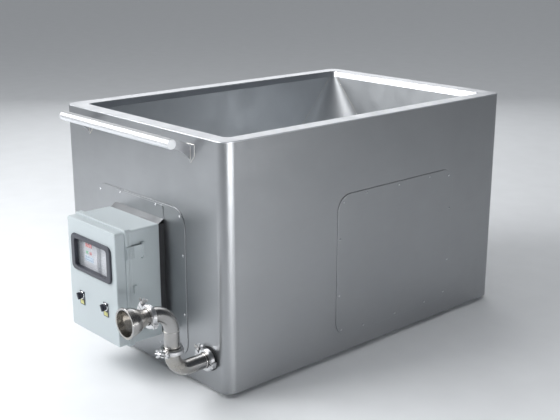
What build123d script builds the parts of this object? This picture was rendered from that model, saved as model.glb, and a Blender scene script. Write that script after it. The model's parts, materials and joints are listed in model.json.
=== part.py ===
from build123d import *
import os
from math import cos, sin, radians, sqrt

# Open-topped, jacketed stainless milk tank with a control cabinet, a push handle and a
# swivelling discharge arm on its front end. A pump set stands in the compartment below the
# basin. Millimetres, +Z up. The front end faces -Y and the side with the big access panel
# faces +X. The model is worked out about the middle of the tank's footprint, and moved at
# the end so that the origin is under the middle of the whole object.

# ---- Tank shell ----------------------------------------------------------------------
jacket_width = 942.0
jacket_length = 1416.0
jacket_height = 850.0
floor_gap = 18.0
corner_radius = 40.0
sheet = 2.0
rim_width = 60.0
rim_plate = 3.0
rim_band = 24.0
rim_band_lean = 6.0
rim_opening_corner = 20.0

half_width = jacket_width / 2
half_length = jacket_length / 2
jacket_base = floor_gap
jacket_top = floor_gap + jacket_height
opening_half_width = half_width - rim_width
opening_half_length = half_length - rim_width

# ---- Basin: flat walls, conical corners, floor falling towards the front ---------------
basin_half_width = opening_half_width - 4.0
basin_half_length = opening_half_length - 4.0
basin_top = jacket_top - rim_band
basin_bottom = jacket_base + 430.0
corner_growth = 0.87
floor_middle_height = jacket_base + 448.0
floor_fall_angle = 1.0
floor_sheet = 3.0
cooling_plate_thickness = 12.0
insulation_bottom = jacket_base + 392.0

# ---- Access panels -------------------------------------------------------------------
panel_sheet = 1.5
panel_seal = 1.0
panel_corner = 60.0
panel_overlap = 24.0
panel_base = jacket_base + 62.0
panel_height = 530.0
front_panel_width = 536.0
front_panel_middle = -5.0
side_panel_width = 630.0
side_panel_middle = 108.0
panel_screw_inset = 13.0
panel_screw_rise = 105.0
screw_head_radius = 4.0
screw_head_height = 1.8
screw_shank_radius = 2.0

# ---- Handle --------------------------------------------------------------------------
handle_length = 652.0
handle_radius = 17.0
handle_wall = 1.5
handle_reach = 89.0
handle_height = jacket_base + 836.0
bracket_spacing = 606.0
bracket_thickness = 5.0
bracket_pad_thickness = 3.0

# ---- Control cabinet -----------------------------------------------------------------
cabinet_width = 300.0
cabinet_height = 400.0
cabinet_wall = 4.0
cabinet_middle_height = jacket_base + 326.0
cabinet_standoff = 26.0
cabinet_flange = 6.0
body_side_depth = 115.0
body_depth = 126.0
door_back = 127.0
door_flange_front = 139.0
door_front = 174.0
hinge_overhang = 6.0
hinge_spacing = 260.0
window_rise = 82.0
selector_spacing = 150.0
selector_drop = 73.0
latch_rise = 127.0

# ---- Sanitary pipework (2 inch tube with clamp ferrules) -------------------------------
tube_radius = 25.4
tube_bore = 23.8
ferrule_radius = 32.0
ferrule_length = 13.0
seal_thickness = 1.6
swivel_gap = 0.2
arm_x = 382.0
outlet_height = jacket_base + 108.0
wall_joint_y = -half_length - 16.0
riser_y = -half_length - 152.0
riser_joint_height = jacket_base + 184.0
spout_height = jacket_base + 322.0
spout_joint_y = -half_length - 236.0
spout_length = 88.0
lower_bend_radius = riser_joint_height - seal_thickness / 2 - ferrule_length - outlet_height
upper_bend_radius = riser_y - spout_joint_y - seal_thickness / 2 - ferrule_length
grommet_radius = 42.0

# ---- Clamp (two halves, swing bolt, wing nut) ------------------------------------------
clamp_outer = 39.0
clamp_half_width = 8.5
clamp_ear_x = 46.0
bolt_pin_y = 8.0
clamp_pin_radius = 2.5
bolt_radius = 3.0
bolt_length = 44.0
nut_seat = 22.0
running_clearance = 0.05

# ---- Pump set ------------------------------------------------------------------------
pump_x = 150.0
pump_y = -250.0
pump_axis_height = jacket_base + 160.0
pump_radius = 80.0
pump_half_depth = 32.0
shaft_radius = 8.0
motor_radius = 70.0
motor_front = -200.0
motor_rear = 30.0
drain_y = -420.0

# The origin goes under the middle of the whole object: the spout reaches furthest to the
# front, and the side panel's screw heads reach furthest to the right.
front_reach = -spout_joint_y + seal_thickness / 2 + spout_length
side_reach = half_width + panel_seal + panel_sheet + screw_head_height
origin_x = (side_reach - half_width) / 2
origin_y = (half_length - front_reach) / 2

nodes = {}


def rounded_block(width, length, radius, low, high):
    """Upright block with rounded vertical edges, centred on the tank's axis."""
    return extrude(Plane.XY.offset(low) * RectangleRounded(width, length, radius), high - low)


def tube_between(start, end, outer, inner):
    """Straight round tube, or a rod when inner is 0."""
    run = Vector(end) - Vector(start)
    plane = Plane(origin=start, z_dir=run)
    section = Circle(outer) - Circle(inner) if inner > 0 else Circle(outer)
    return extrude(plane * section, run.length)


def box_tube_between(start, end, size, wall):
    """Straight square tube with open ends."""
    run = Vector(end) - Vector(start)
    side = (0, 0, 1) if abs(run.Z) < 1 else (1, 0, 0)
    plane = Plane(origin=start, x_dir=side, z_dir=run)
    section = Rectangle(size, size) - Rectangle(size - 2 * wall, size - 2 * wall)
    return extrude(plane * section, run.length)


def block(low, high):
    """Rectangular block given by two opposite corners."""
    size = [high[i] - low[i] for i in range(3)]
    middle = [(high[i] + low[i]) / 2 for i in range(3)]
    return Pos(*middle) * Box(*size)


def bend(plane, radius, outer, inner):
    """Quarter bend: starts at the plane's origin along its Z, and turns towards its X."""
    section = Circle(outer) - Circle(inner)
    axis = Axis(plane.from_local_coords((radius, 0, 0)), plane.y_dir)
    return revolve(plane * section, axis, 90)


# Planes on the tank's faces: local X and Y lie in the face, local Z points outwards.
def front_plane(x, height, out=0.0):
    return Plane(origin=(x, -half_length - out, height), x_dir=(1, 0, 0), z_dir=(0, -1, 0))


def side_plane(y, height, out=0.0):
    return Plane(origin=(half_width + out, y, height), x_dir=(0, 1, 0), z_dir=(1, 0, 0))


# ---- Jacket: two wraps with the rolled corners, two flat sides --------------------------
panel_middle_height = panel_base + panel_height / 2
service_width = front_panel_width - 2 * panel_overlap
service_height = panel_height - 2 * panel_overlap
service_corner = panel_corner - panel_overlap
side_service_width = side_panel_width - 2 * panel_overlap
cut_depth = 40.0

jacket_high = jacket_top - rim_plate
ring = rounded_block(jacket_width, jacket_length, corner_radius, jacket_base, jacket_high)
ring -= rounded_block(jacket_width - 2 * sheet, jacket_length - 2 * sheet, corner_radius - sheet,
                      jacket_base, jacket_high)

front_cut = front_plane(front_panel_middle, panel_middle_height, -cut_depth / 2)
front_cut *= RectangleRounded(service_width, service_height, service_corner)
side_cut = side_plane(side_panel_middle, panel_middle_height, -cut_depth / 2)
side_cut *= RectangleRounded(side_service_width, service_height, service_corner)
outlet_cut = front_plane(arm_x, outlet_height, -cut_depth / 2) * Circle(grommet_radius - 4)
ring -= extrude(front_cut, cut_depth)
ring -= extrude(side_cut, cut_depth)
ring -= extrude(outlet_cut, cut_depth)

seam_y = half_length - corner_radius
far = 2000.0
nodes["jacket_front"] = ring & block((-far, -far, 0), (far, -seam_y, far))
nodes["jacket_rear"] = ring & block((-far, seam_y, 0), (far, far, far))
nodes["jacket_left"] = ring & block((-far, -seam_y, 0), (0, seam_y, far))
nodes["jacket_right"] = ring & block((0, -seam_y, 0), (far, seam_y, far))

# ---- Top rim: flat ring with a slightly leaning inner band ------------------------------
rim = rounded_block(jacket_width, jacket_length, corner_radius, jacket_high, jacket_top)
rim -= rounded_block(2 * opening_half_width, 2 * opening_half_length, rim_opening_corner,
                     jacket_high, jacket_top)
rim_edges = rim.edges().group_by(Axis.Z)[-1]
rim = fillet(rim_edges, 2.0)


def band_section(height, inward, offset):
    width = 2 * (opening_half_width - inward + offset)
    length = 2 * (opening_half_length - inward + offset)
    return Plane.XY.offset(height) * RectangleRounded(width, length, rim_opening_corner + offset)


band_thickness = 4.0


def band_loft(offset):
    sections = [band_section(basin_top, rim_band_lean, offset), band_section(jacket_high, 0.0, offset)]
    return loft(sections, ruled=True)


band_outer = band_loft(band_thickness)
band_inner = band_loft(0.0)
nodes["top_rim"] = rim + (band_outer - band_inner)


# ---- Basin ---------------------------------------------------------------------------
def basin_section(height, offset):
    radius = rim_opening_corner + corner_growth * (basin_top - height) + offset
    width = 2 * (basin_half_width + offset)
    length = 2 * (basin_half_length + offset)
    return Plane.XY.offset(height) * RectangleRounded(width, length, radius)


basin_inner = loft([basin_section(basin_bottom, 0.0), basin_section(basin_top, 0.0)], ruled=True)
basin_outer = loft([basin_section(basin_bottom, sheet), basin_section(basin_top, sheet)], ruled=True)
nodes["basin_walls"] = basin_outer - basin_inner


def tilted_slab(depth, thickness):
    """Slab parallel to the sloping floor, its top face the given depth below the floor's."""
    slab = Box(far, far, thickness, align=(Align.CENTER, Align.CENTER, Align.MAX))
    return Pos(0, 0, floor_middle_height) * Rot(floor_fall_angle, 0, 0) * Pos(0, 0, -depth) * slab


drain_hole = tube_between((pump_x, drain_y, insulation_bottom - 50), (pump_x, drain_y, jacket_top),
                          tube_radius, 0)
nodes["basin_floor"] = (basin_inner & tilted_slab(0, floor_sheet)) - drain_hole

plate_outline = rounded_block(2 * basin_half_width - 60, 2 * basin_half_length - 60, 330.0,
                              insulation_bottom, basin_top)
plate = plate_outline & tilted_slab(floor_sheet, cooling_plate_thickness)
nodes["cooling_plate"] = plate - Pos(pump_x, drain_y, 0) * Cylinder(tube_radius + 6, far)

foam = rounded_block(jacket_width - 2 * sheet, jacket_length - 2 * sheet, corner_radius - sheet,
                     insulation_bottom, jacket_high)
foam -= basin_outer
foam -= band_outer
foam -= block((-opening_half_width, -opening_half_length, jacket_high - 1),
              (opening_half_width, opening_half_length, far))
foam -= plate_outline & tilted_slab(0, floor_sheet + cooling_plate_thickness)
foam -= drain_hole
# A shallow pocket behind each access panel leaves room for the panel screws.
pocket = 14.0
pocket_high = panel_base + panel_height + 4.0
pocket_half = front_panel_width / 2 + 4.0
foam -= block((front_panel_middle - pocket_half, -half_length, 0),
              (front_panel_middle + pocket_half, -half_length + sheet + pocket, pocket_high))
pocket_half = side_panel_width / 2 + 4.0
foam -= block((half_width - sheet - pocket, side_panel_middle - pocket_half, 0),
              (half_width, side_panel_middle + pocket_half, pocket_high))
nodes["insulation"] = foam

# ---- Base: welded frame, tray, adjustable feet -------------------------------------------
rail_size = 40.0
rail_wall = 3.0
rail_x = 432.0
rail_height = jacket_base + sheet + rail_size / 2
rail_end = 690.0
frame = Part()
for side in (-1, 1):
    frame += box_tube_between((side * rail_x, -rail_end, rail_height), (side * rail_x, rail_end, rail_height),
                              rail_size, rail_wall)
cross_end = rail_x - rail_size / 2
for y in (-600.0, -290.0, 0.0, 600.0):
    frame += box_tube_between((-cross_end, y, rail_height), (cross_end, y, rail_height), rail_size, rail_wall)
post_y = 480.0
bearer_height = insulation_bottom - rail_size / 2
for y in (-post_y, post_y):
    frame += box_tube_between((-rail_x - rail_size / 2, y, bearer_height),
                              (rail_x + rail_size / 2, y, bearer_height), rail_size, rail_wall)
    for side in (-1, 1):
        frame += box_tube_between((side * rail_x, y, rail_height + rail_size / 2),
                                  (side * rail_x, y, bearer_height - rail_size / 2), rail_size, rail_wall)

foot_x = 370.0
foot_y = 600.0
foot_spots = [(x, y) for x in (-foot_x, foot_x) for y in (-foot_y, foot_y)]
stem_radius = 8.0
stem_top = rail_height + rail_size / 2 + 6
pad_height = 9.0
tray = rounded_block(jacket_width - 2 * sheet, jacket_length - 2 * sheet, corner_radius - sheet,
                     jacket_base, jacket_base + sheet)
stem_list = []
pad_list = []
for x, y in foot_spots:
    hole = tube_between((x, y, 0), (x, y, stem_top + 10), stem_radius + 0.1, 0)
    frame -= hole
    tray -= hole
    stem = tube_between((x, y, pad_height - 3), (x, y, stem_top), stem_radius, 0)
    stem += extrude(Plane.XY.offset(pad_height) * Pos(x, y) * RegularPolygon(12.0, 6), 7.0)
    stem_list.append(stem)
    foot = Pos(x, y, 0) * Cone(28.0, 16.0, pad_height, align=(Align.CENTER, Align.CENTER, Align.MIN))
    pad_list.append(foot - tube_between((x, y, pad_height - 3), (x, y, pad_height + 1), stem_radius, 0))
nodes["base_frame"] = frame
nodes["bottom_tray"] = tray
nodes["foot_stems"] = stem_list
nodes["foot_pads"] = pad_list


# ---- Access panels -------------------------------------------------------------------
def screw_spots(width, across, up):
    """Screw places round a panel, measured from its middle."""
    edge_x = width / 2 - panel_screw_inset
    edge_y = panel_height / 2 - panel_screw_inset
    diagonal = (panel_corner - panel_screw_inset) / sqrt(2)
    corner_x = width / 2 - panel_corner + diagonal
    corner_y = panel_height / 2 - panel_corner + diagonal
    spots = [(x, side * edge_y) for side in (-1, 1) for x in across]
    spots += [(side * edge_x, y) for side in (-1, 1) for y in up]
    spots += [(a * corner_x, b * corner_y) for a in (-1, 1) for b in (-1, 1)]
    return spots


def screw(plane, x, y, lift, reach):
    """Low button-head screw; the head stands on the height lift, the shank goes reach in."""
    head = Pos(x, y, lift) * Cone(screw_head_radius, screw_head_radius * 0.62, screw_head_height,
                                  align=(Align.CENTER, Align.CENTER, Align.MIN))
    socket = Pos(x, y, lift + screw_head_height) * extrude(RegularPolygon(1.4, 6), -1.1)
    shank = Pos(x, y, lift - reach) * Cylinder(screw_shank_radius, reach,
                                               align=(Align.CENTER, Align.CENTER, Align.MIN))
    return plane * ((head - socket) + shank)


def panel_set(plane, width, service, across):
    """Cover sheet and its seal, both drilled for their screws."""
    spots = screw_spots(width, across, (-panel_screw_rise, panel_screw_rise))
    outline = RectangleRounded(width, panel_height, panel_corner)
    hollow = RectangleRounded(service, service_height, service_corner)
    drill = Sketch() + [Pos(x, y) * Circle(screw_shank_radius + 0.1) for x, y in spots]
    seal = plane * extrude(outline - hollow - drill, panel_seal)
    cover = extrude(outline - drill, panel_sheet)
    cover = fillet(cover.faces().sort_by(Axis.Z)[-1].outer_wire().edges(), 1.0)
    cover = plane * (Pos(0, 0, panel_seal) * cover)
    return cover, seal, spots


front_face = front_plane(front_panel_middle, panel_middle_height)
side_face = side_plane(side_panel_middle, panel_middle_height)
front_cover, front_seal, front_spots = panel_set(front_face, front_panel_width, service_width,
                                                 (-108.0, 108.0))
side_cover, side_seal, side_spots = panel_set(side_face, side_panel_width, side_service_width,
                                              (-173.0, 0.0, 173.0))
cover_front = panel_seal + panel_sheet
screw_reach = cover_front + sheet + 8.0
carrier_sheet = 2.0

front_screws = []
for x, y in front_spots:
    on_carrier = y > panel_height / 2 - 2 * panel_screw_inset and abs(x) < cabinet_width / 2
    lift = cover_front + carrier_sheet if on_carrier else cover_front
    front_screws.append(screw(front_face, x, y, lift, screw_reach))
side_screws = [screw(side_face, x, y, cover_front, screw_reach) for x, y in side_spots]


def drill_sheet(body, plane, spots):
    """Clearance holes for a panel's screws in the jacket sheet."""
    for x, y in spots:
        body -= plane * (Pos(x, y, -sheet / 2) * Cylinder(screw_shank_radius + 0.1, 2 * sheet))
    return body


nodes["jacket_front"] = drill_sheet(nodes["jacket_front"], front_face, front_spots)
nodes["jacket_right"] = drill_sheet(nodes["jacket_right"], side_face, side_spots)
nodes["side_panel"] = side_cover
nodes["panel_seals"] = [front_seal, side_seal]
nodes["panel_screws"] = front_screws + side_screws

# ---- Handle --------------------------------------------------------------------------
handle_y = -half_length - handle_reach
cap_thickness = 3.0
handle_inner_end = handle_length / 2 - cap_thickness
handle_pieces = [tube_between((-handle_inner_end, handle_y, handle_height),
                              (handle_inner_end, handle_y, handle_height),
                              handle_radius, handle_radius - handle_wall)]
for side in (-1, 1):
    cap = tube_between((side * handle_inner_end, handle_y, handle_height),
                       (side * handle_length / 2, handle_y, handle_height), handle_radius, 0)
    rim_edge = cap.edges().sort_by(Axis.X)[-1 if side > 0 else 0]
    handle_pieces.append(fillet(rim_edge, 1.5))
nodes["handle_tube"] = handle_pieces

# Bracket outline in the plane across the tank: how far out from the wall, how high.
wall_low = jacket_base + 768.0
wall_high = jacket_base + 818.0


def bracket(x):
    plane = Plane(origin=(x - bracket_thickness / 2, -half_length, 0), x_dir=(0, -1, 0), z_dir=(1, 0, 0))
    # With x_dir pointing out of the wall and z_dir along +X, local Y points down.
    root_low = (bracket_pad_thickness, -wall_low)
    root_high = (bracket_pad_thickness, -wall_high)
    grip_low = (handle_reach - 4, -(handle_height - handle_radius))
    grip_high = (handle_reach - 4, -(handle_height + handle_radius - 1))
    under = ThreePointArc(root_low, (34.0, -(jacket_base + 798.0)), grip_low)
    over = ThreePointArc(grip_high, (45.0, -(jacket_base + 838.0)), root_high)
    outline = make_face(Curve() + [under, Line(grip_low, grip_high), over, Line(root_high, root_low)])
    grip = tube_between((x - 20, handle_y, handle_height), (x + 20, handle_y, handle_height),
                        handle_radius, 0)
    return extrude(plane * outline, bracket_thickness) - grip


bracket_pieces = []
for side in (-1, 1):
    x = side * bracket_spacing / 2
    bracket_pieces.append(bracket(x))
    shield = Polyline((-20, 26), (20, 26), (20, -12), (0, -34), (-20, -12), (-20, 26))
    pad = extrude(make_face(shield), bracket_pad_thickness)
    bracket_pieces.append(front_plane(x, jacket_base + 795.0) * pad)
nodes["handle_brackets"] = bracket_pieces

# ---- Control cabinet -----------------------------------------------------------------
cabinet = front_plane(0, cabinet_middle_height, cabinet_standoff)


def cabinet_block(x0, x1, y0, y1, z0, z1, radius=0.0):
    """Block in cabinet coordinates, with rounded edges along the depth when radius is given."""
    outline = RectangleRounded(x1 - x0, y1 - y0, radius) if radius else Rectangle(x1 - x0, y1 - y0)
    return extrude(Pos((x0 + x1) / 2, (y0 + y1) / 2, z0) * outline, z1 - z0)


def centred_block(width, height, z0, z1, radius=0.0):
    return cabinet_block(-width / 2, width / 2, -height / 2, height / 2, z0, z1, radius)


def cabinet_rod(x, y, z0, z1, radius):
    return Pos(x, y, z0) * Cylinder(radius, z1 - z0, align=(Align.CENTER, Align.CENTER, Align.MIN))


def upright_rod(x, z, y0, y1, radius):
    """Cylinder along the cabinet's height."""
    rod = Cylinder(radius, y1 - y0)
    return Pos(x, (y0 + y1) / 2, z) * Rot(90, 0, 0) * rod


flange_width = cabinet_width + 2 * cabinet_flange
flange_height = cabinet_height + 2 * cabinet_flange
inner_width = cabinet_width - 2 * cabinet_wall
inner_height = cabinet_height - 2 * cabinet_wall
hinge_x = -flange_width / 2 - hinge_overhang
hinge_z = (body_depth + door_back) / 2
knuckle_radius = 6.0
knuckle_half = 10.0
knuckle_outer = 20.0
hinge_pin_radius = 3.0
latch_pivot_x = cabinet_width / 2 + 10.0
latch_pivot_z = 72.0
latch_half_height = 22.0
latch_pin_radius = 2.0
latch_knuckle = 4.5
gland_x = 60.0
gland_y = -60.0
gland_radius = 16.0

# Body: a tray with a rim flange, hinge knuckles, latch ears and a padlock lug.
shell = centred_block(cabinet_width, cabinet_height, 0, body_side_depth, 8.0)
shell = fillet(shell.edges().group_by(Axis.Z)[0], 3.0)
shell += fillet(centred_block(flange_width, flange_height, body_side_depth, body_depth, 10.0)
                .edges().group_by(Axis.Z)[0], 3.5)
shell -= centred_block(inner_width, inner_height, cabinet_wall, body_depth, 6.0)
for x in (-110.0, 110.0):
    for y in (-160.0, 160.0):
        shell += cabinet_rod(x, y, cabinet_wall - 1, 10.0, 7.0)
for y in (-hinge_spacing / 2, hinge_spacing / 2):
    shell += upright_rod(hinge_x, hinge_z, y - knuckle_half, y + knuckle_half, knuckle_radius)
    shell += cabinet_block(hinge_x, -cabinet_width / 2, y - knuckle_half, y + knuckle_half,
                           116.0, hinge_z - 0.5)
    shell -= cabinet_block(hinge_x + knuckle_radius - 0.2, -inner_width / 2, y - 12, y + 12,
                           body_depth, 140.0)
    shell -= upright_rod(hinge_x, hinge_z, y - 30, y + 30, hinge_pin_radius + 0.01)
for y in (-latch_rise, latch_rise):
    for end in (-1, 1):
        ear_low = y + end * (latch_half_height + 3.0) - 2.0
        shell += cabinet_block(cabinet_width / 2 - 1, latch_pivot_x + 4, ear_low, ear_low + 4.0, 66.0, 78.0)
    shell -= upright_rod(latch_pivot_x, latch_pivot_z, y - 40, y + 40, latch_pin_radius + 0.01)
shell += fillet(cabinet_block(cabinet_width / 2 - 1, cabinet_width / 2 + 5, -20.0, 8.0, 98.0, 110.0)
                .edges().group_by(Axis.X)[-1], 2.0)
shell -= cabinet_rod(gland_x, gland_y, -1, cabinet_wall + 1, gland_radius)
nodes["cabinet_body"] = cabinet * shell

# Door: a deep lid with a matching flange and a window cut-out.
window_width = 200.0
window_height = 98.0
window_neck = 3.0
lid = centred_block(flange_width, flange_height, door_back, door_flange_front, 10.0)
lid = fillet(lid.edges().group_by(Axis.Z)[-1], 4.5)
front_block = centred_block(cabinet_width, cabinet_height, door_flange_front - 1, door_front, 9.0)
lid += fillet(front_block.edges().group_by(Axis.Z)[-1], 5.0)
lid -= centred_block(inner_width, inner_height, door_back, door_front - cabinet_wall, 6.0)
lid -= Pos(0, window_rise, 0) * centred_block(window_width + 2 * window_neck, window_height + 2 * window_neck,
                                              door_flange_front, door_front + 1, 12.0)
selector_hole = 11.15
selector_spots = [(side * selector_spacing / 2, -selector_drop) for side in (-1, 1)]
for x, y in selector_spots:
    lid -= cabinet_rod(x, y, door_flange_front, door_front + 1, selector_hole)
for y in (-hinge_spacing / 2, hinge_spacing / 2):
    lid -= cabinet_block(hinge_x - 1, hinge_x + knuckle_radius + 1.5, y - knuckle_half - 0.4,
                         y + knuckle_half + 0.4, door_back - 1, hinge_z + knuckle_radius + 1.5)
    for end in (-1, 1):
        low, high = sorted((y + end * (knuckle_half + 0.4), y + end * knuckle_outer))
        lid += upright_rod(hinge_x, hinge_z, low, high, knuckle_radius)
        lid += cabinet_block(hinge_x, -cabinet_width / 2 - 2, low, high, door_back, 134.0)
    lid -= upright_rod(hinge_x, hinge_z, y - 30, y + 30, hinge_pin_radius + running_clearance)
nodes["cabinet_door"] = cabinet * lid
nodes["door_seal"] = cabinet * (centred_block(flange_width - 6, flange_height - 6, 126.2, door_back, 8.0)
                                - centred_block(inner_width, inner_height, 126.0, door_back, 6.0))
cabinet_pins = [cabinet * upright_rod(hinge_x, hinge_z, y - knuckle_outer, y + knuckle_outer,
                                      hinge_pin_radius)
                for y in (-hinge_spacing / 2, hinge_spacing / 2)]

# Window: rounded black frame with its neck through the door, pane against the neck.
frame_width = 246.0
frame_height = 130.0
frame_front = door_front + 7.0
neck_back = door_front - cabinet_wall - 4.0
bezel = centred_block(frame_width, frame_height, door_front, frame_front, 20.0)
bezel = fillet(bezel.edges().group_by(Axis.Z)[-1], 4.0)
bezel += centred_block(window_width + 2 * window_neck - 0.4, window_height + 2 * window_neck - 0.4,
                       neck_back, door_front, 11.8)
opening = centred_block(window_width, window_height, neck_back - 1, frame_front + 1, 9.0)
bezel -= opening
bezel = fillet(bezel.faces().sort_by(Axis.Z)[-1].inner_wires()[0].edges(), 2.5)
nodes["window_frame"] = cabinet * (Pos(0, window_rise, 0) * bezel)
pane = centred_block(window_width + 2 * window_neck - 0.4, window_height + 2 * window_neck - 0.4,
                     neck_back - 3.0, neck_back, 11.8)
nodes["window_pane"] = cabinet * (Pos(0, window_rise, 0) * pane)

# Inside: mounting plate, inner cover on four posts, motor drive with its keypad.
mount_plate = centred_block(250.0, 350.0, 10.0, 12.0, 4.0)
mount_plate -= cabinet_rod(gland_x, gland_y, 5, 15, gland_radius + 3)
drive_left = -88.0
drive_right = 2.0
drive_low = 0.0
drive_high = 165.0
drive_front = 154.0
cover_back = 140.0
inner_cover = centred_block(264.0, 362.0, cover_back, cover_back + 2.0, 6.0)
inner_cover -= cabinet_block(drive_left - 1, drive_right + 1, drive_low - 1, drive_high + 1, 130.0, 150.0)
for x in (-120.0, 120.0):
    for y in (-168.0, 168.0):
        inner_cover += cabinet_rod(x, y, 12.0, cover_back + 1, 4.0)
nodes["inner_frame"] = [cabinet * mount_plate, cabinet * inner_cover]

drive = cabinet_block(drive_left, drive_right, drive_low, drive_high, 12.0, drive_front, 3.0)
drive = fillet(drive.edges().group_by(Axis.Z)[-1], 2.0)
keypad_x = -50.0
display_y = 108.0
key_y = 82.0
membrane_y = 60.0
key_depth = 3.0
key_spots = {"start_key": keypad_x - 11.0, "stop_key": keypad_x + 11.0}
drive -= Pos(keypad_x, display_y, 0) * centred_block(42.0, 14.0, drive_front - 1.5, drive_front + 1)
drive -= Pos(keypad_x, membrane_y, 0) * centred_block(54.0, 20.0, drive_front - 0.8, drive_front + 1)
for x in key_spots.values():
    drive -= Pos(x, key_y, 0) * centred_block(15.0, 11.0, drive_front - key_depth, drive_front + 1, 2.0)
nodes["drive_unit"] = cabinet * drive
nodes["drive_display"] = cabinet * (Pos(keypad_x, display_y, 0)
                                    * centred_block(42.0, 14.0, drive_front - 1.5, drive_front - 0.2))
nodes["drive_keypad"] = cabinet * (Pos(keypad_x, membrane_y, 0)
                                   * centred_block(54.0, 20.0, drive_front - 0.8, drive_front + 0.3))
for name, x in key_spots.items():
    key = centred_block(14.2, 10.2, drive_front - key_depth + 1.3, drive_front + 1.2, 1.8)
    nodes[name] = cabinet * (Pos(x, key_y, 0) * fillet(key.edges().group_by(Axis.Z)[-1], 0.6))

# Selector switches: fixed bezel and contact block, legend plate with a blank label, turning knob.
bezels = []
legends = []
labels = []
legend_sheet = 1.5
knob_shaft = 8.0
for (x, y), name in zip(selector_spots, ("left", "right")):
    spot = Pos(x, y, 0)
    base_front = door_front + legend_sheet
    base = cabinet_rod(0, 0, base_front, base_front + 4.0, 14.5)
    base = fillet(base.edges().group_by(Axis.Z)[-1], 1.2)
    base += cabinet_rod(0, 0, door_front - 12, base_front, 11.0)
    base += centred_block(30.0, 38.0, 148.0, door_front - 12, 2.0)
    base -= cabinet_rod(0, 0, door_front - 8, base_front + 5, knob_shaft + running_clearance)
    bezels.append(cabinet * (spot * base))
    legend = cabinet_block(-15.0, 15.0, -35.0, 15.0, door_front, base_front, 2.0)
    legend -= cabinet_rod(0, 0, door_front - 1, base_front + 1, 11.1)
    legends.append(cabinet * (spot * legend))
    label = cabinet_block(-11.0, 11.0, -32.0, -18.0, base_front, base_front + 0.4)
    labels.append(cabinet * (spot * label))
    knob = cabinet_rod(0, 0, door_front - 7, base_front + 5, knob_shaft)
    knob += cabinet_rod(0, 0, base_front + 4.4, base_front + 10, 11.5)
    grip = Pos(0, 0, base_front + 9) * extrude(RectangleRounded(8.0, 25.0, 3.5), 10.0)
    knob += fillet(grip.edges().group_by(Axis.Z)[-1], 1.5)
    nodes["selector_knob_" + name] = cabinet * (spot * Rot(0, 0, 25.0) * knob)
nodes["selector_bases"] = bezels
nodes["selector_legends"] = legends
nodes["selector_labels"] = labels

# Latches: ribbed levers that lie along the side of both flanges.
for name, y in (("upper", latch_rise), ("lower", -latch_rise)):
    half = latch_half_height
    lever = upright_rod(latch_pivot_x, latch_pivot_z, y - half, y + half, latch_knuckle)
    lever += cabinet_block(latch_pivot_x - 2.5, latch_pivot_x + 2, y - half, y + half, latch_pivot_z, 137.0)
    for step in range(5):
        rib_z = 108.0 + 6.0 * step
        lever += cabinet_block(latch_pivot_x + 1, latch_pivot_x + 4, y - half + 2, y + half - 2,
                               rib_z, rib_z + 3)
    lever -= upright_rod(latch_pivot_x, latch_pivot_z, y - 40, y + 40, latch_pin_radius + running_clearance)
    nodes["latch_lever_" + name] = cabinet * lever
    cabinet_pins.append(cabinet * upright_rod(latch_pivot_x, latch_pivot_z, y - half - 5, y + half + 5,
                                              latch_pin_radius))
nodes["cabinet_pins"] = cabinet_pins

# Carrier: sheet that hangs from the front panel's top screws and steps out behind the cabinet.
carrier_half = cabinet_width / 2 - 4.0
panel_out = cover_front - cabinet_standoff
carrier_high = 260.0
step_high = 213.0
step_low = 199.0
carrier_points = [(panel_out, carrier_high), (panel_out, step_high), (-carrier_sheet, step_low),
                  (-carrier_sheet, -196.0), (0, -196.0), (0, step_low),
                  (panel_out + carrier_sheet, step_high), (panel_out + carrier_sheet, carrier_high)]
# The outline is drawn in cabinet coordinates (depth, height) and swept across the width.
profile_plane = Plane(origin=(-carrier_half, 0, 0), x_dir=(0, 0, 1), z_dir=(1, 0, 0))
carrier_outline = make_face(Polyline(*[(z, -y) for z, y in carrier_points], close=True))
carrier = extrude(profile_plane * carrier_outline, 2 * carrier_half)
carrier = fillet([e for e in carrier.edges().filter_by(Axis.Z) if e.center().Y > carrier_high - 1], 14.0)
gland_hole = cabinet_rod(gland_x, gland_y, -60, 20, gland_radius)
nodes["cabinet_carrier"] = cabinet * (carrier - gland_hole)
pad_top = step_low - 2.0
backing = cabinet_block(-carrier_half + 2, carrier_half - 2, -194.0, pad_top, panel_out, -carrier_sheet)
nodes["cabinet_pad"] = cabinet * (backing - gland_hole)
cable_bore = 11.0
gland = cabinet_rod(gland_x, gland_y, -40, 14, gland_radius)
gland += cabinet_rod(gland_x, gland_y, cabinet_wall, 9.5, gland_radius + 2)
gland -= cabinet_rod(gland_x, gland_y, -41, 15, cable_bore)
front_cover -= cabinet * gland_hole
for x, y in front_spots[2:4]:
    hole = front_face * (Pos(x, y, 0) * Cylinder(screw_shank_radius + 0.1, 20))
    nodes["cabinet_carrier"] -= hole
nodes["front_panel"] = front_cover

# ---- Outlet, discharge arm and spout ----------------------------------------------------
grommet = cabinet_rod(0, 0, 0, 2.5, grommet_radius) + cabinet_rod(0, 0, -8, 0, grommet_radius - 4.1)
grommet += cabinet_rod(0, 0, -8, -2.5, grommet_radius)
grommet -= cabinet_rod(0, 0, -10, 5, tube_radius + 0.05)
nodes["wall_grommets"] = [front_plane(arm_x, outlet_height) * grommet, cabinet * gland]


def ferrule(plane):
    """Clamp ferrule: sealing face on the plane, tube along its Z."""
    outline = Polyline((tube_bore, 0), (ferrule_radius, 0), (ferrule_radius, 2.9), (26.8, 4.9),
                       (tube_radius, 6.6), (tube_radius, ferrule_length),
                       (tube_bore, ferrule_length), close=True)
    return plane * revolve(make_face(Plane.XZ * outline), Axis.Z)


seal_half = seal_thickness / 2
stub_face = (arm_x, wall_joint_y + seal_half, outlet_height)
stub = ferrule(Plane(origin=stub_face, z_dir=(0, 1, 0)))
stub_start = (arm_x, stub_face[1] + ferrule_length, outlet_height)


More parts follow.
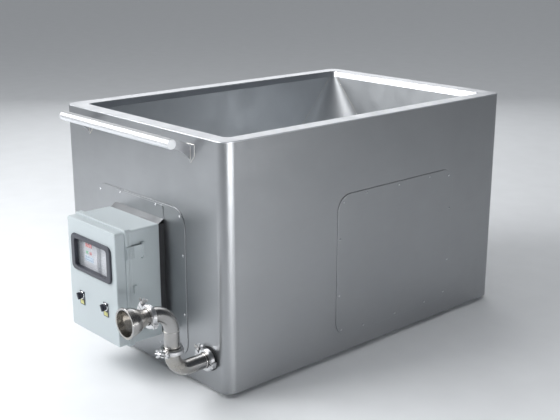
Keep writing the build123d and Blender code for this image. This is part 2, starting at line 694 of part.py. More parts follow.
def seal_ring(plane):
    ring_face = Circle(ferrule_radius - 1) - Circle(tube_bore)
    return plane * extrude(ring_face, seal_half, both=True)


wall_joint = Plane(origin=(arm_x, wall_joint_y, outlet_height), z_dir=(0, -1, 0))
riser_joint = Plane(origin=(arm_x, riser_y, riser_joint_height), z_dir=(0, 0, 1))
spout_joint = Plane(origin=(arm_x, spout_joint_y, spout_height), z_dir=(0, -1, 0))
nodes["wall_joint_seal"] = seal_ring(wall_joint)
nodes["riser_joint_seal"] = seal_ring(riser_joint)
nodes["spout_joint_seal"] = seal_ring(spout_joint)

# Lower elbow: from the wall joint forwards, then up to the riser joint.
elbow_face = wall_joint.offset(seal_half + swivel_gap)
elbow = ferrule(elbow_face)
straight_start = elbow_face.origin + Vector(0, -ferrule_length, 0)
bend_start = Vector(arm_x, riser_y + lower_bend_radius, outlet_height)
elbow += tube_between(straight_start, bend_start, tube_radius, tube_bore)
elbow += bend(Plane(origin=bend_start, x_dir=(0, 0, 1), z_dir=(0, -1, 0)), lower_bend_radius,
              tube_radius, tube_bore)
riser_low_face = riser_joint_height - seal_half
elbow += ferrule(Plane(origin=(arm_x, riser_y, riser_low_face), z_dir=(0, 0, -1)))
nodes["lower_elbow"] = elbow

# Riser with the upper bend: up from the riser joint, then forwards to the spout joint.
riser_face = riser_joint.offset(seal_half + swivel_gap)
riser = ferrule(riser_face)
upper_start = Vector(arm_x, riser_y, spout_height - upper_bend_radius)
riser += tube_between(riser_face.origin + Vector(0, 0, ferrule_length), upper_start, tube_radius, tube_bore)
riser += bend(Plane(origin=upper_start, x_dir=(0, -1, 0), z_dir=(0, 0, 1)), upper_bend_radius,
              tube_radius, tube_bore)
riser_out_face = spout_joint_y + seal_half
riser += ferrule(Plane(origin=(arm_x, riser_out_face, spout_height), z_dir=(0, 1, 0)))
nodes["riser_elbow"] = riser

# Spout: ferrule, flaring body, straight mouth with a rolled lip.
mouth_bore = 43.0
lip_radius = 50.5
wall = 1.8
flare_end = 66.0
spout_profile = Curve() + [
    Polyline((tube_bore, 0), (ferrule_radius, 0), (ferrule_radius, 2.9), (26.8, 4.9), (tube_radius, 6.6),
             (tube_radius, 12.0)),
    Spline((tube_radius, 12.0), (32.0, 34.0), (mouth_bore + wall, flare_end), tangents=((0.1, 1), (0.12, 1))),
    Line((mouth_bore + wall, flare_end), (mouth_bore + wall, spout_length - 7.0)),
    Polyline((mouth_bore + wall, spout_length - 7.0), (lip_radius - 1.0, spout_length - 5.0)),
    ThreePointArc((lip_radius - 1.0, spout_length - 5.0), (lip_radius, spout_length - 2.5),
                  (lip_radius - 1.0, spout_length)),
    Line((lip_radius - 1.0, spout_length), (mouth_bore, spout_length)),
    Line((mouth_bore, spout_length), (mouth_bore, flare_end)),
    Spline((mouth_bore, flare_end), (32.0 - wall, 34.0), (tube_bore, 12.0),
           tangents=((-0.12, -1), (-0.1, -1))),
    Line((tube_bore, 12.0), (tube_bore, 0)),
]
spout = revolve(make_face(Plane.XZ * spout_profile), Axis.Z)
nodes["spout"] = spout_joint.offset(seal_half) * spout


# ---- Clamps: local Z is the pipe's axis, the ears are on +X and the bolt points to -Y -----
def clamp_parts(plane, wing_turn):
    groove = Polyline((ferrule_radius + 0.3, -4.3), (27.4, -6.2), (27.4, -clamp_half_width),
                      (36.0, -clamp_half_width), (clamp_outer, -5.0), (clamp_outer, 5.0),
                      (36.0, clamp_half_width), (27.4, clamp_half_width), (27.4, 6.2),
                      (ferrule_radius + 0.3, 4.3), close=True)
    band = revolve(make_face(Plane.XZ * groove), Axis.Z)
    split = 1.5
    seat_edge = nut_seat - bolt_pin_y
    slot = Pos(clamp_ear_x + 6, 0, 0) * Box(24.0, 60.0, 7.0)
    halves = []
    for side in (-1, 1):
        half = band & (Pos(0, side * (60 + split), 0) * Box(120, 120, 40))
        far_edge = seat_edge if side < 0 else bolt_pin_y + 6.0
        ear = Pos(clamp_outer - 3 + 7.0, side * (split + far_edge) / 2, 0) * Box(18.0, far_edge - split, 15.0)
        half += ear
        half -= slot
        if side < 0:
            # The nut slides round this seat as the bolt swings clear.
            seat = Pos(clamp_ear_x, bolt_pin_y, 0) * Cylinder(nut_seat, 40)
            half -= (Pos(clamp_ear_x, -far_edge / 2 - 6, 0) * Box(30, far_edge + 12, 40)) - seat
        else:
            half -= Pos(clamp_ear_x, bolt_pin_y, 0) * Cylinder(clamp_pin_radius + 0.01, 40)
        half += Pos(-clamp_outer - 1.5, side * (split + 4.5), 0) * Box(9.0, 9.0, 15.0)
        half -= Pos(-clamp_outer - 3.0, 0, 0) * Cylinder(clamp_pin_radius + running_clearance, 40)
        halves.append(plane * half)
    hinge_pin = Pos(-clamp_outer - 3.0, 0, 0) * Cylinder(clamp_pin_radius, 18.0)
    bolt_pin = Pos(clamp_ear_x, bolt_pin_y, 0) * Cylinder(clamp_pin_radius, 17.0)
    bolt_axis = Plane(origin=(clamp_ear_x, bolt_pin_y, 0), x_dir=(1, 0, 0), z_dir=(0, -1, 0))
    bolt = bolt_axis * Cylinder(bolt_radius, bolt_length, align=(Align.CENTER, Align.CENTER, Align.MIN))
    bolt += Pos(clamp_ear_x, bolt_pin_y, 0) * Cylinder(5.4, 6.4)
    bolt -= Pos(clamp_ear_x, bolt_pin_y, 0) * Cylinder(clamp_pin_radius + running_clearance, 20)
    hub = Pos(0, 0, nut_seat + 0.4) * Cone(7.0, 5.0, 10.0, align=(Align.CENTER, Align.CENTER, Align.MIN))
    wing_outline = Polyline((0, nut_seat + 3.0), (5.5, nut_seat + 3.0), (14.0, nut_seat + 12.0),
                            (13.5, nut_seat + 19.0), (9.5, nut_seat + 20.0), (5.0, nut_seat + 12.5),
                            (0, nut_seat + 9.0), close=True)
    blade = extrude(Plane.XZ * make_face(wing_outline), 1.6, both=True)
    blade = fillet(blade.edges().filter_by(Axis.Y).sort_by(Axis.X)[-4:], 1.6)
    nut = hub + blade + Rot(0, 0, 180) * blade
    nut -= Cylinder(bolt_radius + running_clearance, 200)
    nut_turned = bolt_axis * (Rot(0, 0, wing_turn) * nut)
    return halves, [plane * hinge_pin, plane * bolt_pin], plane * bolt, plane * nut_turned


def clamp_plane(origin, angle, across, up, axis):
    x_dir = Vector(across) * cos(radians(angle)) + Vector(up) * sin(radians(angle))
    return Plane(origin=origin, x_dir=x_dir, z_dir=axis)


clamps = {
    "wall": (clamp_plane(wall_joint.origin, 170.0, (1, 0, 0), (0, 0, 1), (0, -1, 0)), 52.0),
    "riser": (clamp_plane(riser_joint.origin, -64.0, (1, 0, 0), (0, 1, 0), (0, 0, 1)), 90.0),
    "spout": (clamp_plane(spout_joint.origin, 150.0, (1, 0, 0), (0, 0, 1), (0, -1, 0)), 52.0),
}
for name, (plane, wing_turn) in clamps.items():
    halves, pins, bolt, nut = clamp_parts(plane, wing_turn)
    nodes[name + "_clamp"] = halves + pins
    nodes[name + "_clamp_bolt"] = bolt
    nodes[name + "_clamp_wing_nut"] = nut

# ---- Pump set and inner pipework --------------------------------------------------------
pump_front = pump_y - pump_half_depth
pump_rear = pump_y + pump_half_depth
shell_wall = 5.0


def along_y(y0, y1, radius, x=pump_x, z=pump_axis_height):
    return tube_between((x, y0, z), (x, y1, z), radius, 0)


discharge_start_x = pump_x + 60.0
casing = along_y(pump_front, pump_rear, pump_radius)
casing += tube_between((pump_x, pump_y, outlet_height), (pump_x + pump_radius + 15, pump_y, outlet_height),
                       tube_radius, 0)
casing -= along_y(pump_front + shell_wall, pump_rear - shell_wall, pump_radius - shell_wall)
casing -= tube_between((discharge_start_x, pump_y, outlet_height), (pump_x + 120, pump_y, outlet_height),
                       tube_bore, 0)
casing -= along_y(pump_front - 1, pump_front + shell_wall + 1, tube_bore)
casing -= along_y(pump_rear - shell_wall - 1, pump_rear + 1, shaft_radius + running_clearance)
nodes["pump_casing"] = casing

impeller_radius = 60.0
rotor = along_y(pump_y - 6, pump_y, impeller_radius) + along_y(pump_y - 14, pump_y + 12, 18.0)
for turn in range(6):
    vane = Pos(38.0, 0, 0) * Box(40.0, 4.0, 12.0)
    vane_plane = Plane(origin=(pump_x, pump_y - 11, pump_axis_height), x_dir=(1, 0, 0), z_dir=(0, 1, 0))
    rotor += vane_plane * (Rot(0, 0, 60.0 * turn) * vane)
rotor += along_y(pump_y, 10.0, shaft_radius)
nodes["pump_rotor"] = rotor

motor = along_y(motor_front, motor_rear, motor_radius - 8)
motor += along_y(pump_rear, motor_front, 48.0)
motor += along_y(motor_rear - 30, motor_rear, motor_radius)
motor += along_y(motor_front, motor_front + 12, motor_radius)
fin_plane = Plane(origin=(pump_x, motor_front + 12, pump_axis_height), x_dir=(1, 0, 0), z_dir=(0, 1, 0))
fin_length = motor_rear - 30 - motor_front - 12
for turn in range(18):
    fin = Pos(motor_radius - 7, 0, 0) * Box(12.0, 3.0, fin_length,
                                            align=(Align.CENTER, Align.CENTER, Align.MIN))
    motor += fin_plane * (Rot(0, 0, 20.0 * turn) * fin)
motor += block((pump_x - 40, -140, pump_axis_height + 50), (pump_x + 40, -60, pump_axis_height + 95))
plate_top = rail_height + rail_size / 2 + 6
for y in (-180.0, -20.0):
    motor += block((pump_x - 60, y - 12, plate_top), (pump_x + 60, y + 12, pump_axis_height - 40))
motor -= along_y(pump_rear - 1, 12.0, shaft_radius + running_clearance)
nodes["motor_housing"] = motor
nodes["base_frame"] += block((pump_x - 90, -310, plate_top - 6), (pump_x + 90, 20, plate_top))

suction_bend = 60.0
suction_low = (pump_x, drain_y, pump_axis_height + suction_bend)
floor_at_drain = floor_middle_height + drain_y * sin(radians(floor_fall_angle))
suction = tube_between(suction_low, (pump_x, drain_y, floor_at_drain - 1.5), tube_radius, tube_bore)
suction += bend(Plane(origin=suction_low, x_dir=(0, 1, 0), z_dir=(0, 0, -1)), suction_bend,
                tube_radius, tube_bore)
suction += tube_between((pump_x, drain_y + suction_bend, pump_axis_height),
                        (pump_x, pump_front, pump_axis_height), tube_radius, tube_bore)

discharge_bend = 60.0
discharge_x = pump_x + pump_radius + 15
discharge_turn = (arm_x - discharge_bend, pump_y, outlet_height)
discharge = tube_between((discharge_x, pump_y, outlet_height), discharge_turn, tube_radius, tube_bore)
discharge += bend(Plane(origin=discharge_turn, x_dir=(0, -1, 0), z_dir=(1, 0, 0)), discharge_bend,
                  tube_radius, tube_bore)
discharge += tube_between((arm_x, pump_y - discharge_bend, outlet_height), stub_start, tube_radius, tube_bore)
discharge += stub
nodes["pump_pipes"] = [suction, discharge]

os.makedirs("parts", exist_ok=True)
for name, shape in nodes.items():
    solids = []
    for piece in (shape if isinstance(shape, list) else [shape]):
        solids += piece.solids()
    moved = [Pos(-origin_x, -origin_y, 0) * solid for solid in solids]
    export_step(moved[0] if len(moved) == 1 else Compound(children=moved), "parts/" + name + ".step")
print(len(nodes), "nodes, origin offset", origin_x, origin_y)
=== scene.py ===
import json
from math import cos, sin, pi, radians

import bmesh
import bpy
from mathutils import Matrix, Vector


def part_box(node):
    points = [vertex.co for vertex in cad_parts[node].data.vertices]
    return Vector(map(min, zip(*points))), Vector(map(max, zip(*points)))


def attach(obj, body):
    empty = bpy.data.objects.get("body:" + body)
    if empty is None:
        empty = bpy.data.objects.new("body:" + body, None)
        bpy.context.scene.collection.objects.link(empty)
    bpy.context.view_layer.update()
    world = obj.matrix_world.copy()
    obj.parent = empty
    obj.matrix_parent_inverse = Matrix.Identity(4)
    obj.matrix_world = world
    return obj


# Open-topped jacketed milk tank: camera, studio, procedural materials for every CAD node,
# and the weld beads that the CAD solids leave out. Metres, CAD frame.

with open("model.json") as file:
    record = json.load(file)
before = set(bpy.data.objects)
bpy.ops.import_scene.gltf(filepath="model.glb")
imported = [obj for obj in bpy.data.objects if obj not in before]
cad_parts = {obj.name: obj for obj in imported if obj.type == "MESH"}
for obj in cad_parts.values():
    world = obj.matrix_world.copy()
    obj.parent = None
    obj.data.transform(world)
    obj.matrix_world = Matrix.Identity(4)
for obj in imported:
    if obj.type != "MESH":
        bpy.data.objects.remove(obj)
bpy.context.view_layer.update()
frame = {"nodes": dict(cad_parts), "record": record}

# ---- Camera ------------------------------------------------------------------------------
CAMERA_PLACE = Vector((2.73885, -2.3621, 1.499))
CAMERA_AZIMUTH = 47.94
CAMERA_ELEVATION = 16.17
CAMERA_ROLL = 0.06
CAMERA_LENS = 62.65
SENSOR_WIDTH = 36.0


def add_camera():
    azimuth, elevation, roll = (radians(a) for a in (CAMERA_AZIMUTH, CAMERA_ELEVATION, CAMERA_ROLL))
    back = Vector((sin(azimuth) * cos(elevation), -cos(azimuth) * cos(elevation), sin(elevation)))
    right = Vector((cos(azimuth), sin(azimuth), 0))
    up = back.cross(right)
    turned_right = right * cos(roll) + up * sin(roll)
    turned_up = up * cos(roll) - right * sin(roll)
    data = bpy.data.cameras.new("camera")
    data.lens = CAMERA_LENS
    data.sensor_width = SENSOR_WIDTH
    camera = bpy.data.objects.new("camera", data)
    bpy.context.scene.collection.objects.link(camera)
    turn = Matrix((turned_right, turned_up, back)).transposed().to_4x4()
    camera.matrix_world = Matrix.Translation(CAMERA_PLACE) @ turn
    bpy.context.scene.camera = camera


# ---- Studio ------------------------------------------------------------------------------
TANK_MIDDLE = Vector((0, 0, 0.45))
# Name, azimuth, elevation, distance, width, height and power of each area light.
SOFTBOXES = (
    ("front_left_box", -31, 37, 4.4, 3.2, 2.6, 262),
    ("corner_box", 84, -2, 4.0, 3.0, 0.5, 62),
    ("back_left_box", -130, 24, 4.6, 4.0, 2.2, 42),
    ("top_box", 0, 88, 4.2, 4.0, 4.0, 14),
)
WORLD_COLOR = (0.40, 0.44, 0.50, 1)
WORLD_STRENGTH = 0.20
FLOOR_COLOR = (0.68, 0.70, 0.72)
FLOOR_HALF_SIZE = 30
FLOOR_WASH_STRENGTH = 0.95
FLOOR_WASH_SPREAD = 70


def add_softbox(name, azimuth, elevation, distance, width, height, power):
    """Area light on a sphere round the tank, turned to face it."""
    a, e = radians(azimuth), radians(elevation)
    back = Vector((sin(a) * cos(e), -cos(a) * cos(e), sin(e)))
    data = bpy.data.lights.new(name, "AREA")
    data.shape = "RECTANGLE"
    data.size = width
    data.size_y = height
    data.energy = power
    light = bpy.data.objects.new(name, data)
    bpy.context.scene.collection.objects.link(light)
    light.location = TANK_MIDDLE + back * distance
    light.rotation_mode = "QUATERNION"
    light.rotation_quaternion = (-back).to_track_quat("-Z", "Y")


def add_studio():
    world = bpy.data.worlds.new("studio")
    world.use_nodes = True
    background = world.node_tree.nodes["Background"]
    background.inputs["Color"].default_value = WORLD_COLOR
    background.inputs["Strength"].default_value = WORLD_STRENGTH
    bpy.context.scene.world = world
    bpy.context.scene.view_settings.view_transform = "Standard"
    for softbox in SOFTBOXES:
        add_softbox(*softbox)

    floor_mesh = bpy.data.meshes.new("floor")
    bm = bmesh.new()
    bmesh.ops.create_grid(bm, x_segments=4, y_segments=4, size=FLOOR_HALF_SIZE)
    bm.to_mesh(floor_mesh)
    bm.free()
    floor = bpy.data.objects.new("floor", floor_mesh)
    bpy.context.scene.collection.objects.link(floor)
    floor_paint = plain_finish("floor_paint", FLOOR_COLOR, 0.75, 3.0, 0.02, 0.0, 0.0)
    floor.data.materials.append(floor_paint)
    add_floor_wash(floor)


def add_floor_wash(floor):
    """Soft overhead light that falls on the floor alone and leaves the tank's lighting as it is."""
    data = bpy.data.lights.new("floor_wash", "SUN")
    data.energy = FLOOR_WASH_STRENGTH
    data.angle = radians(FLOOR_WASH_SPREAD)
    wash = bpy.data.objects.new("floor_wash", data)
    bpy.context.scene.collection.objects.link(wash)
    only_floor = bpy.data.collections.new("floor_only")
    only_floor.objects.link(floor)
    wash.light_linking.receiver_collection = only_floor


# ---- Material building blocks --------------------------------------------------------------
class Recipe:
    """A Principled material with short helpers for its node tree."""

    # Places of the colour sockets on a Mix node, whose sockets share names.
    MIX_FIRST = 6
    MIX_SECOND = 7
    MIX_RESULT = 2

    def __init__(self, name):
        self.material = bpy.data.materials.new(name)
        self.material.use_nodes = True
        self.tree = self.material.node_tree
        self.shader = self.tree.nodes["Principled BSDF"]
        self.place = self.add("ShaderNodeTexCoord").outputs["Object"]

    def add(self, kind, **settings):
        node = self.tree.nodes.new(kind)
        for key, value in settings.items():
            setattr(node, key, value)
        return node

    def link(self, source, target):
        self.tree.links.new(source, target)

    def stretched(self, scale):
        mapping = self.add("ShaderNodeMapping")
        mapping.inputs["Scale"].default_value = scale
        self.link(self.place, mapping.inputs["Vector"])
        return mapping.outputs["Vector"]

    def noise(self, scale, detail=3.0, stretch=(1, 1, 1)):
        texture = self.add("ShaderNodeTexNoise")
        texture.inputs["Scale"].default_value = scale
        texture.inputs["Detail"].default_value = detail
        self.link(self.stretched(stretch), texture.inputs["Vector"])
        return texture.outputs["Fac"]

    def span(self, value, from_low, from_high, to_low, to_high):
        node = self.add("ShaderNodeMapRange")
        limits = {"From Min": from_low, "From Max": from_high, "To Min": to_low, "To Max": to_high}
        for key, number in limits.items():
            node.inputs[key].default_value = number
        self.link(value, node.inputs["Value"])
        return node.outputs["Result"]

    def combine(self, operation, first, second):
        node = self.add("ShaderNodeMath", operation=operation)
        for socket, value in zip(node.inputs, (first, second)):
            if isinstance(value, float):
                socket.default_value = value
            else:
                self.link(value, socket)
        return node.outputs["Value"]

    def mix(self, share, first, second):
        node = self.add("ShaderNodeMix", data_type="RGBA")
        for index, value in ((self.MIX_FIRST, first), (self.MIX_SECOND, second)):
            if isinstance(value, tuple):
                node.inputs[index].default_value = (*value, 1)
            else:
                self.link(value, node.inputs[index])
        self.link(share, node.inputs["Factor"])
        return node.outputs[self.MIX_RESULT]

    def edges(self, radius):
        """1 along sharp edges, 0 on faces: how far a bevelled normal leans from the true one."""
        bevel = self.add("ShaderNodeBevel", samples=4)
        bevel.inputs["Radius"].default_value = radius
        geometry = self.add("ShaderNodeNewGeometry")
        dot = self.add("ShaderNodeVectorMath", operation="DOT_PRODUCT")
        self.link(bevel.outputs["Normal"], dot.inputs[0])
        self.link(geometry.outputs["Normal"], dot.inputs[1])
        return self.span(dot.outputs["Value"], 0.99, 0.80, 0.0, 1.0)

    def bump(self, height, strength, distance=0.001):
        node = self.add("ShaderNodeBump")
        node.inputs["Strength"].default_value = strength
        node.inputs["Distance"].default_value = distance
        self.link(height, node.inputs["Height"])
        self.link(node.outputs["Normal"], self.shader.inputs["Normal"])


def tone(color, factor):
    return tuple(min(1.0, c * factor) for c in color)


STEEL_EDGE = 0.0022
PLAIN_EDGE = 0.0016


def steel_finish(name, color, rough, grain=(1, 1, 1), grain_bump=0.03, wear=0.5, cloud=0.05,
                 warm=0.0):
    """Stainless steel: directional grain, cloudy rolled sheet, brighter rubbed edges."""
    r = Recipe(name)
    r.shader.inputs["Metallic"].default_value = 1.0
    clouds = r.noise(2.6, 4.0)
    smears = r.noise(14.0, 5.0)
    lines = r.noise(9.0, 2.0, grain)
    cloudy = r.span(clouds, 0.3, 0.7, 0.0, 1.0)
    base = r.mix(cloudy, tone(color, 1 - cloud), tone(color, 1 + cloud))
    if warm:
        reddish = (color[0] * (1 + warm), color[1] * (1 + warm * 0.35), color[2] * (1 - warm))
        base = r.mix(r.span(smears, 0.42, 0.62, 0.0, 0.8), base, reddish)
    edge = r.edges(STEEL_EDGE)
    worn = r.combine("MULTIPLY", edge, r.span(smears, 0.35, 0.6, 0.3, 1.0))
    rubbed = r.mix(r.combine("MULTIPLY", worn, wear), base, tone(color, 1.32))
    r.link(rubbed, r.shader.inputs["Base Color"])
    spread = r.combine("ADD", r.span(smears, 0.3, 0.7, rough - 0.045, rough + 0.045),
                       r.span(lines, 0.3, 0.7, -0.03, 0.03))
    smoothed = r.combine("SUBTRACT", spread, r.combine("MULTIPLY", worn, 0.08))
    r.link(smoothed, r.shader.inputs["Roughness"])
    r.bump(lines, grain_bump)
    return r.material


def plain_finish(name, color, rough, grain_scale, variation, grain_bump, wear):
    """Moulded plastic, rubber or paint: mottled tone, fine grain, paler rubbed edges."""
    r = Recipe(name)
    r.shader.inputs["Metallic"].default_value = 0.0
    mottle = r.noise(7.0, 4.0)
    grain = r.noise(grain_scale, 3.0)
    mottled = r.span(mottle, 0.3, 0.7, 0.0, 1.0)
    base = r.mix(mottled, tone(color, 1 - variation), tone(color, 1 + variation))
    if wear:
        rubbed = r.combine("MULTIPLY", r.edges(PLAIN_EDGE), r.span(mottle, 0.35, 0.6, 0.25, 1.0))
        pale = tuple(c + (1 - c) * 0.22 for c in color)
        base = r.mix(r.combine("MULTIPLY", rubbed, wear), base, pale)
    r.link(base, r.shader.inputs["Base Color"])
    r.link(r.span(mottle, 0.3, 0.7, rough - 0.05, rough + 0.05), r.shader.inputs["Roughness"])
    if grain_bump:
        r.bump(grain, grain_bump)
    return r.material


def clear_finish(name):
    """Clear polycarbonate pane, slightly hazed, with faint wiping marks."""
    r = Recipe(name)
    r.shader.inputs["IOR"].default_value = 1.55
    marks = r.noise(30.0, 5.0, (1, 1, 6))
    r.link(r.mix(marks, (0.66, 0.70, 0.76), (0.82, 0.86, 0.90)), r.shader.inputs["Base Color"])
    r.link(r.span(marks, 0.3, 0.7, 0.05, 0.14), r.shader.inputs["Roughness"])
    r.link(r.span(marks, 0.3, 0.7, 0.13, 0.20), r.shader.inputs["Alpha"])
    r.bump(marks, 0.01)
    return r.material


def display_finish(name):
    """Dark red window of a lit read-out, with uneven brighter patches."""
    r = Recipe(name)
    glow = r.noise(160.0, 2.0, (1, 1, 0.4))
    lit = r.mix(r.span(glow, 0.42, 0.60, 0.0, 1.0), (0.30, 0.035, 0.03), (0.85, 0.16, 0.12))
    r.link(lit, r.shader.inputs["Base Color"])
    r.link(lit, r.shader.inputs["Emission Color"])
    r.shader.inputs["Emission Strength"].default_value = 0.25
    r.link(r.span(glow, 0.3, 0.7, 0.10, 0.18), r.shader.inputs["Roughness"])
    r.bump(glow, 0.02)
    return r.material


KEY_WIDTH = 0.0135
KEY_HEIGHT = 0.0100
KEY_GAP = 0.0011


def keypad_finish(name):
    """Blue membrane with blank key fields."""
    r = Recipe(name)
    brick = r.add("ShaderNodeTexBrick", offset=0.0)
    brick.inputs["Scale"].default_value = 1.0
    brick.inputs["Brick Width"].default_value = KEY_WIDTH
    brick.inputs["Row Height"].default_value = KEY_HEIGHT
    brick.inputs["Mortar Size"].default_value = KEY_GAP
    brick.inputs["Color1"].default_value = (0.50, 0.64, 0.76, 1)
    brick.inputs["Color2"].default_value = (0.44, 0.58, 0.72, 1)
    brick.inputs["Mortar"].default_value = (0.16, 0.25, 0.38, 1)
    flat = r.add("ShaderNodeSeparateXYZ")
    upright = r.add("ShaderNodeCombineXYZ")
    r.link(r.place, flat.inputs["Vector"])
    r.link(flat.outputs["X"], upright.inputs["X"])
    r.link(flat.outputs["Z"], upright.inputs["Y"])
    r.link(upright.outputs["Vector"], brick.inputs["Vector"])
    r.link(brick.outputs["Color"], r.shader.inputs["Base Color"])
    r.link(r.span(r.noise(60.0), 0.3, 0.7, 0.36, 0.48), r.shader.inputs["Roughness"])
    r.bump(brick.outputs["Fac"], 0.25)
    return r.material


# ---- Finishes --------------------------------------------------------------------------------
# Named after the record's material slots, except shaded_bracket_steel, which is for the handle brackets: a
# darker copy of the handle steel, painted shade on brackets that face away from the lamps.
ROUND_THE_TANK = (1, 1, 60)
# Jacket and panel tone kept darker than bare stainless: painted shade that holds these walls dark against the
# pale floor they reflect.
SHADED_SHEET_STEEL = (0.345, 0.354, 0.366)
WELD_STEEL = (0.70, 0.69, 0.67)


def make_finishes():
    return {
        "jacket_steel": steel_finish("jacket_steel", SHADED_SHEET_STEEL, 0.36, ROUND_THE_TANK, 0.05, 0.35, 0.03),
        "panel_steel": steel_finish("panel_steel", SHADED_SHEET_STEEL, 0.35, ROUND_THE_TANK, 0.05, 0.9, 0.03),
        "rim_steel": steel_finish("rim_steel", (0.66, 0.68, 0.71), 0.40, (30, 30, 1), 0.04, 0.5, 0.03),
        "basin_steel": steel_finish("basin_steel", (0.60, 0.62, 0.64), 0.50, (30, 1, 1), 0.03, 0.2, 0.05),
        "plate_aluminium": steel_finish("plate_aluminium", (0.72, 0.73, 0.74), 0.45, (1, 1, 1), 0.05, 0.3),
        "handle_steel": steel_finish("handle_steel", (0.74, 0.75, 0.77), 0.44, (60, 1, 1), 0.004, 0.3, 0.03),
        # Darker copy of the handle steel: painted shade on the handle brackets.
        "shaded_bracket_steel": steel_finish("shaded_bracket_steel", (0.46, 0.47, 0.49), 0.50, (1, 1, 20), 0.02, 0.4, 0.05),
        # Pipe tone kept dark: painted dark reflection of the surroundings the pipes mirror.
        "tube_steel": steel_finish("tube_steel", (0.36, 0.355, 0.35), 0.24, (1, 1, 1), 0.01, 0.5, 0.05, 0.06),
        "clamp_steel": steel_finish("clamp_steel", (0.62, 0.62, 0.63), 0.33, (1, 1, 1), 0.03, 0.5, 0.06),
        "screw_steel": steel_finish("screw_steel", (0.68, 0.68, 0.70), 0.30, (1, 1, 1), 0.05, 0.8),
        "frame_steel": steel_finish("frame_steel", (0.52, 0.53, 0.54), 0.42, (1, 40, 1), 0.06, 0.5, 0.08),
        "foam": plain_finish("foam", (0.86, 0.76, 0.48), 0.85, 420.0, 0.08, 0.5, 0.0),
        "black_rubber": plain_finish("black_rubber", (0.026, 0.027, 0.030), 0.62, 500.0, 0.18, 0.15, 0.25),
        "white_rubber": plain_finish("white_rubber", (0.82, 0.82, 0.79), 0.50, 500.0, 0.04, 0.08, 0.2),
        "cabinet_plastic": plain_finish("cabinet_plastic", (0.43, 0.48, 0.50), 0.34, 750.0, 0.02, 0.07, 0.5),
        "black_plastic": plain_finish("black_plastic", (0.035, 0.038, 0.052), 0.34, 800.0, 0.12, 0.10, 0.30),
        "window_clear": clear_finish("window_clear"),
        "bezel_metal": steel_finish("bezel_metal", (0.76, 0.77, 0.78), 0.14, (1, 1, 1), 0.02, 0.4),
        "yellow_label": plain_finish("yellow_label", (0.52, 0.51, 0.20), 0.42, 600.0, 0.04, 0.05, 0.3),
        "drive_grey": plain_finish("drive_grey", (0.52, 0.52, 0.55), 0.42, 700.0, 0.04, 0.08, 0.4),
        "display_red": display_finish("display_red"),
        "keypad_blue": keypad_finish("keypad_blue"),
        "key_green": plain_finish("key_green", (0.06, 0.42, 0.17), 0.36, 700.0, 0.05, 0.06, 0.4),
        "key_red": plain_finish("key_red", (0.55, 0.06, 0.05), 0.36, 700.0, 0.05, 0.06, 0.4),
        "inner_grey": plain_finish("inner_grey", (0.66, 0.67, 0.70), 0.45, 600.0, 0.03, 0.06, 0.4),
        "motor_paint": plain_finish("motor_paint", (0.16, 0.19, 0.22), 0.42, 300.0, 0.08, 0.18, 0.6),
    }


def paint_nodes(finishes):
    slots = {row["node"]: row["material_slot"] for row in frame["record"]["subparts"]}
    # The handle brackets take the darker copy of the handle steel, which is painted shade.
    slots["handle_brackets"] = "shaded_bracket_steel"
    for name, obj in frame["nodes"].items():
        obj.data.materials.clear()
        obj.data.materials.append(finishes[slots[name]])


# ---- Weld beads ------------------------------------------------------------------------------
UPRIGHT = Vector((0, 0, 1))
OUTWARD = Vector((0, -1, 0))
RIPPLE_PITCH = 0.0022
RIPPLE_HOLLOW = 0.82
BEAD_SIDES = 8
NEARLY_UPRIGHT = 0.9


def spaced(points, step):
    """Points along a chain of straight runs, at even steps."""
    found = [points[0]]
    for start, end in zip(points, points[1:]):
        count = max(1, round((end - start).length / step))
        found += [start.lerp(end, i / count) for i in range(1, count + 1)]
    return found


def weld_bead(name, points, radius, body, finish, closed=False, step=RIPPLE_PITCH):
    """Rippled round bead along the points, half sunk into what it lies on."""
    path = [Vector(p) for p in points]
    path = spaced(path + path[:1] if closed else path, step)
    if closed:
        path.pop()
    turns = [2 * pi * k / BEAD_SIDES for k in range(BEAD_SIDES)]
    bm = bmesh.new()
    rings = []
    for i, point in enumerate(path):
        ahead = path[(i + 1) % len(path)] if closed or i + 1 < len(path) else point
        behind = path[i - 1] if closed or i > 0 else point
        along = (ahead - behind).normalized()
        across = along.orthogonal() if abs(along.z) > NEARLY_UPRIGHT else along.cross(UPRIGHT)
        across.normalize()
        upward = across.cross(along)
        swell = radius * (1.0 if i % 2 else RIPPLE_HOLLOW)
        spokes = [across * cos(t) + upward * sin(t) for t in turns]
        rings.append([bm.verts.new(point + spoke * swell) for spoke in spokes])
    pairs = list(zip(rings, rings[1:]))
    if closed:
        pairs.append((rings[-1], rings[0]))
    for first, second in pairs:
        for k in range(BEAD_SIDES):
            after = (k + 1) % BEAD_SIDES
            bm.faces.new((first[k], first[after], second[after], second[k]))
    if not closed:
        bm.faces.new(list(reversed(rings[0])))
        bm.faces.new(rings[-1])
    bmesh.ops.recalc_face_normals(bm, faces=bm.faces)
    for face in bm.faces:
        face.smooth = True
    mesh = bpy.data.meshes.new(name)
    bm.to_mesh(mesh)
    bm.free()
    bead = bpy.data.objects.new(name, mesh)
    bpy.context.scene.collection.objects.link(bead)
    mesh.materials.append(finish)
    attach(bead, body)


def circle(centre, axis, radius, count=40):
    side = axis.orthogonal().normalized()
    other = axis.cross(side)
    turns = [2 * pi * k / count for k in range(count)]
    return [centre + (side * cos(t) + other * sin(t)) * radius for t in turns]


# Corner radius of the basin at its rim, and how much it grows per unit of depth.
CORNER_START = 0.020
CORNER_GROWTH = 0.87
BASIN_SHEET = 0.002
SEAM_RADIUS = 0.0009
SEAM_STEP = 0.006


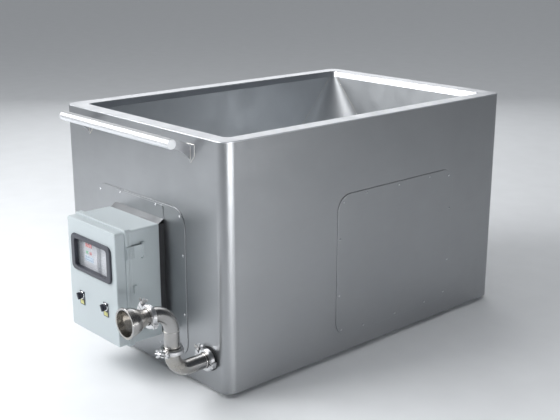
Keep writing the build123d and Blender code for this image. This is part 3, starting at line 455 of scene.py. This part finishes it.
def add_basin_seams(finish):
    """Dressed seams where the conical corners meet the flat walls."""
    low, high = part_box("basin_walls")
    middle = (low + high) / 2
    half_x = (high.x - low.x) / 2 - BASIN_SHEET
    half_y = (high.y - low.y) / 2 - BASIN_SHEET
    depth = high.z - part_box("basin_floor")[1].z
    end_radius = CORNER_START + CORNER_GROWTH * depth
    for a, side in ((-1, "left"), (1, "right")):
        for b, end in ((-1, "front"), (1, "rear")):
            on_side = [middle + Vector((a * half_x, b * (half_y - CORNER_START), 0)),
                       middle + Vector((a * half_x, b * (half_y - end_radius), 0))]
            on_end = [middle + Vector((a * (half_x - CORNER_START), b * half_y, 0)),
                      middle + Vector((a * (half_x - end_radius), b * half_y, 0))]
            for place, (start, stop) in (("side", on_side), ("end", on_end)):
                start.z, stop.z = high.z, high.z - depth
                name = f"basin_seam_{side}_{end}_{place}"
                weld_bead(name, [start, stop], SEAM_RADIUS, "tank", finish, step=SEAM_STEP)


PAD_HALF_WIDTH = 0.020
# The wall pad's outline, across and up from the middle of its foot: a square top, a pointed foot.
PAD_OUTLINE = ((-0.020, 0.060), (0.020, 0.060), (0.020, 0.022), (0.0, 0.0), (-0.020, 0.022))
PAD_THICKNESS = 0.003
PAD_BEAD_RADIUS = 0.0013
ROOT_BEAD_RADIUS = 0.0012
ROOT_BEAD_OFFSET = 0.0028
ROOT_BEAD_ENDS = (0.009, 0.054)


def add_handle_welds(finish):
    """Beads round the bracket pads and along the roots of the brackets."""
    low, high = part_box("handle_brackets")
    wall_y = high.y
    for side, x in (("left", low.x + PAD_HALF_WIDTH), ("right", high.x - PAD_HALF_WIDTH)):
        outline = [Vector((x + u, wall_y, low.z + v)) for u, v in PAD_OUTLINE]
        weld_bead(f"handle_pad_weld_{side}", outline, PAD_BEAD_RADIUS, "tank", finish, closed=True)
        for face, offset in (("inner", ROOT_BEAD_OFFSET), ("outer", -ROOT_BEAD_OFFSET)):
            line = [Vector((x + offset, wall_y - PAD_THICKNESS, low.z + v)) for v in ROOT_BEAD_ENDS]
            weld_bead(f"handle_root_weld_{side}_{face}", line, ROOT_BEAD_RADIUS, "tank", finish)


TUBE_RADIUS = 0.0254
FERRULE_RADIUS = 0.032
FERRULE_LENGTH = 0.013
BEND_START = 0.0668
PIPE_BEAD_RADIUS = 0.0009
PIPE_BEAD_STEP = 0.004


def add_pipe_welds(finish):
    """Orbital welds where ferrules and bends meet the straight tube."""
    low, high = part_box("riser_elbow")
    lower_low, lower_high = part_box("lower_elbow")
    x = (low.x + high.x) / 2
    riser_y = high.y - FERRULE_RADIUS
    spout_height = high.z - FERRULE_RADIUS
    outlet_height = lower_low.z + FERRULE_RADIUS
    elbow_top = lower_high.z - FERRULE_LENGTH
    elbow_wall = lower_high.y - FERRULE_LENGTH
    rings = (
        ("riser_weld_low", "spout_arm", (x, riser_y, low.z + FERRULE_LENGTH), UPRIGHT),
        ("riser_weld_high", "spout_arm", (x, riser_y, low.z + BEND_START), UPRIGHT),
        ("riser_weld_end", "spout_arm", (x, low.y + FERRULE_LENGTH, spout_height), OUTWARD),
        ("elbow_weld_wall", "discharge_arm", (x, elbow_wall, outlet_height), OUTWARD),
        ("elbow_weld_top", "discharge_arm", (x, riser_y, elbow_top), UPRIGHT),
    )
    for name, body, centre, axis in rings:
        ring = circle(Vector(centre), axis, TUBE_RADIUS)
        weld_bead(name, ring, PIPE_BEAD_RADIUS, body, finish, closed=True, step=PIPE_BEAD_STEP)


finishes = make_finishes()
paint_nodes(finishes)
weld_finish = steel_finish("weld_steel", WELD_STEEL, 0.34, (1, 1, 1), 0.15, 0.3, 0.10, 0.10)
add_basin_seams(weld_finish)
add_handle_welds(weld_finish)
add_pipe_welds(weld_finish)
add_camera()
add_studio()
